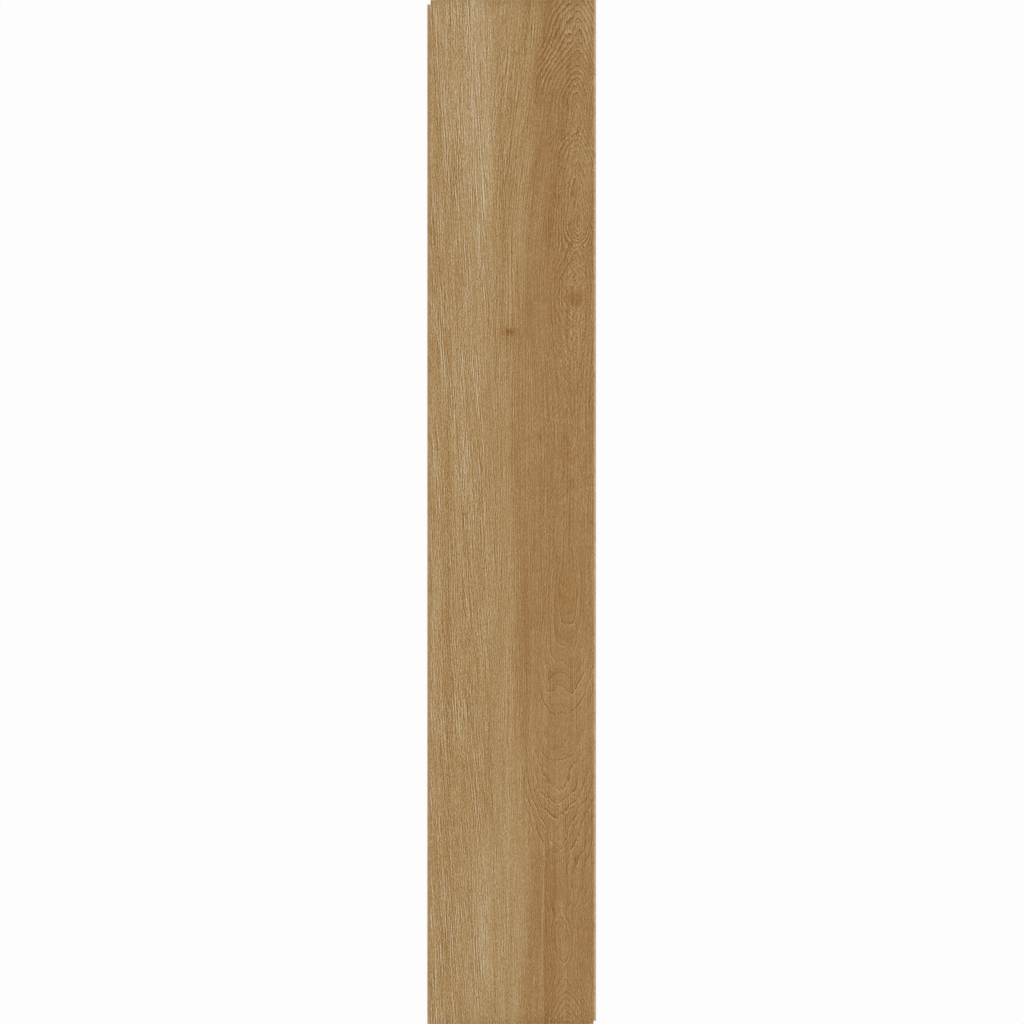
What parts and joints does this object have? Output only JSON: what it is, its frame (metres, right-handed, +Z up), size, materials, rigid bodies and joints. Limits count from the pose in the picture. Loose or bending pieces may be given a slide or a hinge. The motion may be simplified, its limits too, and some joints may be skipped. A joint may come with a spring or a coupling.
{
  "type": "laminate floor plank",
  "caption": "Flat rectangular laminate floor plank with an oak-grain face, and a click-lock tongue or groove milled along each edge so that planks join into a floor.",
  "frame": {"origin": "on the underside, straight below the middle of the decor face", "axes": "+X across the plank to its long tongue, +Y along the plank to its end tongue, +Z up out of the decor face"},
  "size_m": [0.198, 1.207, 0.008],
  "materials": {
    "laminate": "satin"
  },
  "bodies": {
    "root": {"plank": "laminate"}
  },
  "joints": []
}
